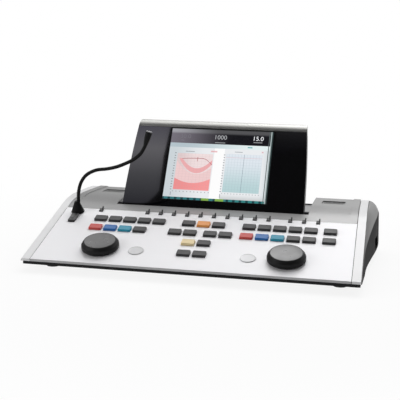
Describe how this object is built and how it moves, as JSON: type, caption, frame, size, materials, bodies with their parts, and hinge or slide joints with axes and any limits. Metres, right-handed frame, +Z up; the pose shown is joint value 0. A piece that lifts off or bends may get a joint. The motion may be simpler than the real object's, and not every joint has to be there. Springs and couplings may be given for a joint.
{
  "type": "clinical audiometer",
  "caption": "Table-top audiometer with a sloping key panel, twin dials, a gooseneck microphone and a fold-down colour display.",
  "frame": {"origin": "on the table, below the middle of the instrument", "axes": "+X to the operator's right, +Y away from the operator, +Z up"},
  "size_m": [0.5326, 0.366, 0.2152],
  "materials": {
    "black_plastic": "fine moulded grain",
    "brushed_plate": "satin, fine brushed",
    "grey_paint": "satin grey lacquer",
    "cheek_plastic": "satin dark grey",
    "white_trim": "semi-gloss white",
    "foot_rubber": "matte rubber",
    "switch_plastic": "gloss",
    "circuit_board": "solder resist",
    "gloss_black": "high gloss",
    "silver_shell": "satin silver",
    "screen_glass": "clear",
    "lcd_metal": "sheet metal",
    "pin_steel": "ground",
    "black_rubber": "matte rubber",
    "key_black": "matte",
    "pad_metal": "spun",
    "grille_plastic": "matte",
    "encoder_metal": "plain",
    "dial_rubber": "satin rubber",
    "key_grey": "soft satin",
    "key_red": "soft satin",
    "key_blue": "soft satin",
    "key_cyan": "soft satin",
    "key_orange": "soft satin",
    "key_cream": "soft satin"
  },
  "bodies": {
    "console": {"base_tray": "black_plastic", "control_plate": "brushed_plate", "rear_housing": "grey_paint", "left_cheek": "cheek_plastic", "right_cheek": "cheek_plastic", "end_trims": "white_trim", "feet": "foot_rubber", "connector_panel": "black_plastic", "main_board": "circuit_board", "touch_pads": "pad_metal", "speaker_grilles": "grille_plastic", "key_circuit_board": "circuit_board", "dial_encoders": "encoder_metal"},
    "display": {"display_bezel": "gloss_black", "display_back_shell": "silver_shell", "display_glass": "screen_glass", "lcd_module": "lcd_metal", "hinge_pins": "pin_steel"},
    "microphone": {"mic_boot": "black_rubber", "mic_gooseneck": "black_rubber", "mic_capsule": "black_plastic"},
    "left_upper_key_1": {"left_upper_key_1": "key_grey"},
    "left_upper_key_2": {"left_upper_key_2": "key_grey"},
    "left_upper_key_3": {"left_upper_key_3": "key_grey"},
    "left_upper_key_4": {"left_upper_key_4": "key_grey"},
    "left_upper_key_5": {"left_upper_key_5": "key_grey"},
    "left_lower_key_1": {"left_lower_key_1": "key_red"},
    "left_lower_key_2": {"left_lower_key_2": "key_blue"},
    "left_lower_key_3": {"left_lower_key_3": "key_cyan"},
    "left_lower_key_4": {"left_lower_key_4": "key_grey"},
    "centre_key_1": {"centre_key_1": "key_grey"},
    "centre_key_2": {"centre_key_2": "key_orange"},
    "centre_key_3": {"centre_key_3": "key_grey"},
    "centre_key_4": {"centre_key_4": "key_grey"},
    "centre_key_5": {"centre_key_5": "key_grey"},
    "centre_key_6": {"centre_key_6": "key_grey"},
    "centre_key_7": {"centre_key_7": "key_grey"},
    "centre_key_8": {"centre_key_8": "key_cream"},
    "centre_key_9": {"centre_key_9": "key_grey"},
    "centre_key_10": {"centre_key_10": "key_grey"},
    "centre_key_11": {"centre_key_11": "key_grey"},
    "right_upper_key_1": {"right_upper_key_1": "key_grey"},
    "right_upper_key_2": {"right_upper_key_2": "key_grey"},
    "right_upper_key_3": {"right_upper_key_3": "key_grey"},
    "right_upper_key_4": {"right_upper_key_4": "key_grey"},
    "right_upper_key_5": {"right_upper_key_5": "key_grey"},
    "right_upper_key_6": {"right_upper_key_6": "key_grey"},
    "right_lower_key_1": {"right_lower_key_1": "key_red"},
    "right_lower_key_2": {"right_lower_key_2": "key_blue"},
    "right_lower_key_3": {"right_lower_key_3": "key_cyan"},
    "right_lower_key_4": {"right_lower_key_4": "key_grey"},
    "right_lower_key_5": {"right_lower_key_5": "key_grey"},
    "right_lower_key_6": {"right_lower_key_6": "key_grey"},
    "talk_key": {"talk_key": "key_black"},
    "left_soft_key": {"left_soft_key": "key_black"},
    "screen_soft_keys": {"screen_soft_keys": "key_black"},
    "right_soft_keys": {"right_soft_keys": "key_black"},
    "left_dial": {"left_dial": "dial_rubber"},
    "right_dial": {"right_dial": "dial_rubber"},
    "power_switch": {"power_switch": "switch_plastic"}
  },
  "joints": [
    {"name": "left_upper_key_1_press", "type": "slide", "parent": "console", "child": "left_upper_key_1", "axis": [0, 0.3206, -0.9472], "range_m": [0, 0.001], "stiffness_N_per_m": 400, "springref_m": -0.001},
    {"name": "left_upper_key_2_press", "type": "slide", "parent": "console", "child": "left_upper_key_2", "axis": [0, 0.3206, -0.9472], "range_m": [0, 0.001], "stiffness_N_per_m": 400, "springref_m": -0.001},
    {"name": "left_upper_key_3_press", "type": "slide", "parent": "console", "child": "left_upper_key_3", "axis": [0, 0.3206, -0.9472], "range_m": [0, 0.001], "stiffness_N_per_m": 400, "springref_m": -0.001},
    {"name": "left_upper_key_4_press", "type": "slide", "parent": "console", "child": "left_upper_key_4", "axis": [0, 0.3206, -0.9472], "range_m": [0, 0.001], "stiffness_N_per_m": 400, "springref_m": -0.001},
    {"name": "left_upper_key_5_press", "type": "slide", "parent": "console", "child": "left_upper_key_5", "axis": [0, 0.3206, -0.9472], "range_m": [0, 0.001], "stiffness_N_per_m": 400, "springref_m": -0.001},
    {"name": "left_lower_key_1_press", "type": "slide", "parent": "console", "child": "left_lower_key_1", "axis": [0, 0.3206, -0.9472], "range_m": [0, 0.001], "stiffness_N_per_m": 400, "springref_m": -0.001},
    {"name": "left_lower_key_2_press", "type": "slide", "parent": "console", "child": "left_lower_key_2", "axis": [0, 0.3206, -0.9472], "range_m": [0, 0.001], "stiffness_N_per_m": 400, "springref_m": -0.001},
    {"name": "left_lower_key_3_press", "type": "slide", "parent": "console", "child": "left_lower_key_3", "axis": [0, 0.3206, -0.9472], "range_m": [0, 0.001], "stiffness_N_per_m": 400, "springref_m": -0.001},
    {"name": "left_lower_key_4_press", "type": "slide", "parent": "console", "child": "left_lower_key_4", "axis": [0, 0.3206, -0.9472], "range_m": [0, 0.001], "stiffness_N_per_m": 400, "springref_m": -0.001},
    {"name": "centre_key_1_press", "type": "slide", "parent": "console", "child": "centre_key_1", "axis": [0, 0.3206, -0.9472], "range_m": [0, 0.001], "stiffness_N_per_m": 400, "springref_m": -0.001},
    {"name": "centre_key_2_press", "type": "slide", "parent": "console", "child": "centre_key_2", "axis": [0, 0.3206, -0.9472], "range_m": [0, 0.001], "stiffness_N_per_m": 400, "springref_m": -0.001},
    {"name": "centre_key_3_press", "type": "slide", "parent": "console", "child": "centre_key_3", "axis": [0, 0.3206, -0.9472], "range_m": [0, 0.001], "stiffness_N_per_m": 400, "springref_m": -0.001},
    {"name": "centre_key_4_press", "type": "slide", "parent": "console", "child": "centre_key_4", "axis": [0, 0.3206, -0.9472], "range_m": [0, 0.001], "stiffness_N_per_m": 400, "springref_m": -0.001},
    {"name": "centre_key_5_press", "type": "slide", "parent": "console", "child": "centre_key_5", "axis": [0, 0.3206, -0.9472], "range_m": [0, 0.001], "stiffness_N_per_m": 400, "springref_m": -0.001},
    {"name": "centre_key_6_press", "type": "slide", "parent": "console", "child": "centre_key_6", "axis": [0, 0.3206, -0.9472], "range_m": [0, 0.001], "stiffness_N_per_m": 400, "springref_m": -0.001},
    {"name": "centre_key_7_press", "type": "slide", "parent": "console", "child": "centre_key_7", "axis": [0, 0.3206, -0.9472], "range_m": [0, 0.001], "stiffness_N_per_m": 400, "springref_m": -0.001},
    {"name": "centre_key_8_press", "type": "slide", "parent": "console", "child": "centre_key_8", "axis": [0, 0.3206, -0.9472], "range_m": [0, 0.001], "stiffness_N_per_m": 400, "springref_m": -0.001},
    {"name": "centre_key_9_press", "type": "slide", "parent": "console", "child": "centre_key_9", "axis": [0, 0.3206, -0.9472], "range_m": [0, 0.001], "stiffness_N_per_m": 400, "springref_m": -0.001},
    {"name": "centre_key_10_press", "type": "slide", "parent": "console", "child": "centre_key_10", "axis": [0, 0.3206, -0.9472], "range_m": [0, 0.001], "stiffness_N_per_m": 400, "springref_m": -0.001},
    {"name": "centre_key_11_press", "type": "slide", "parent": "console", "child": "centre_key_11", "axis": [0, 0.3206, -0.9472], "range_m": [0, 0.001], "stiffness_N_per_m": 400, "springref_m": -0.001},
    {"name": "right_upper_key_1_press", "type": "slide", "parent": "console", "child": "right_upper_key_1", "axis": [0, 0.3206, -0.9472], "range_m": [0, 0.001], "stiffness_N_per_m": 400, "springref_m": -0.001},
    {"name": "right_upper_key_2_press", "type": "slide", "parent": "console", "child": "right_upper_key_2", "axis": [0, 0.3206, -0.9472], "range_m": [0, 0.001], "stiffness_N_per_m": 400, "springref_m": -0.001},
    {"name": "right_upper_key_3_press", "type": "slide", "parent": "console", "child": "right_upper_key_3", "axis": [0, 0.3206, -0.9472], "range_m": [0, 0.001], "stiffness_N_per_m": 400, "springref_m": -0.001},
    {"name": "right_upper_key_4_press", "type": "slide", "parent": "console", "child": "right_upper_key_4", "axis": [0, 0.3206, -0.9472], "range_m": [0, 0.001], "stiffness_N_per_m": 400, "springref_m": -0.001},
    {"name": "right_upper_key_5_press", "type": "slide", "parent": "console", "child": "right_upper_key_5", "axis": [0, 0.3206, -0.9472], "range_m": [0, 0.001], "stiffness_N_per_m": 400, "springref_m": -0.001},
    {"name": "right_upper_key_6_press", "type": "slide", "parent": "console", "child": "right_upper_key_6", "axis": [0, 0.3206, -0.9472], "range_m": [0, 0.001], "stiffness_N_per_m": 400, "springref_m": -0.001},
    {"name": "right_lower_key_1_press", "type": "slide", "parent": "console", "child": "right_lower_key_1", "axis": [0, 0.3206, -0.9472], "range_m": [0, 0.001], "stiffness_N_per_m": 400, "springref_m": -0.001},
    {"name": "right_lower_key_2_press", "type": "slide", "parent": "console", "child": "right_lower_key_2", "axis": [0, 0.3206, -0.9472], "range_m": [0, 0.001], "stiffness_N_per_m": 400, "springref_m": -0.001},
    {"name": "right_lower_key_3_press", "type": "slide", "parent": "console", "child": "right_lower_key_3", "axis": [0, 0.3206, -0.9472], "range_m": [0, 0.001], "stiffness_N_per_m": 400, "springref_m": -0.001},
    {"name": "right_lower_key_4_press", "type": "slide", "parent": "console", "child": "right_lower_key_4", "axis": [0, 0.3206, -0.9472], "range_m": [0, 0.001], "stiffness_N_per_m": 400, "springref_m": -0.001},
    {"name": "right_lower_key_5_press", "type": "slide", "parent": "console", "child": "right_lower_key_5", "axis": [0, 0.3206, -0.9472], "range_m": [0, 0.001], "stiffness_N_per_m": 400, "springref_m": -0.001},
    {"name": "right_lower_key_6_press", "type": "slide", "parent": "console", "child": "right_lower_key_6", "axis": [0, 0.3206, -0.9472], "range_m": [0, 0.001], "stiffness_N_per_m": 400, "springref_m": -0.001},
    {"name": "talk_key_press", "type": "slide", "parent": "console", "child": "talk_key", "axis": [0, 0.3206, -0.9472], "range_m": [0, 0.001], "stiffness_N_per_m": 400, "springref_m": -0.001},
    {"name": "left_soft_key_press", "type": "slide", "parent": "console", "child": "left_soft_key", "axis": [0, 0.3206, -0.9472], "range_m": [0, 0.001], "stiffness_N_per_m": 400, "springref_m": -0.001},
    {"name": "screen_soft_keys_press", "type": "slide", "parent": "console", "child": "screen_soft_keys", "axis": [0, 0.3206, -0.9472], "range_m": [0, 0.001], "stiffness_N_per_m": 400, "springref_m": -0.001},
    {"name": "right_soft_keys_press", "type": "slide", "parent": "console", "child": "right_soft_keys", "axis": [0, 0.3206, -0.9472], "range_m": [0, 0.001], "stiffness_N_per_m": 400, "springref_m": -0.001},
    {"name": "left_dial_turn", "type": "hinge", "parent": "console", "child": "left_dial", "pos_m": [-0.139, -0.1399, 0.03399], "axis": [0, -0.3206, 0.9472], "continuous": true},
    {"name": "right_dial_turn", "type": "hinge", "parent": "console", "child": "right_dial", "pos_m": [0.139, -0.1399, 0.03399], "axis": [0, -0.3206, 0.9472], "continuous": true},
    {"name": "display_tilt", "type": "hinge", "parent": "console", "child": "display", "pos_m": [0, 0.0145, 0.08], "axis": [1, 0, 0], "range_deg": [-60, 12]},
    {"name": "mic_swivel", "type": "hinge", "parent": "console", "child": "microphone", "pos_m": [-0.211, -0.03618, 0.0691], "axis": [0, -0.3206, 0.9472], "range_deg": [-100, 25]},
    {"name": "power_switch_rock", "type": "hinge", "parent": "console", "child": "power_switch", "pos_m": [0.098, 0.178, 0.0318], "axis": [1, 0, 0], "range_deg": [-16, 0]}
  ]
}
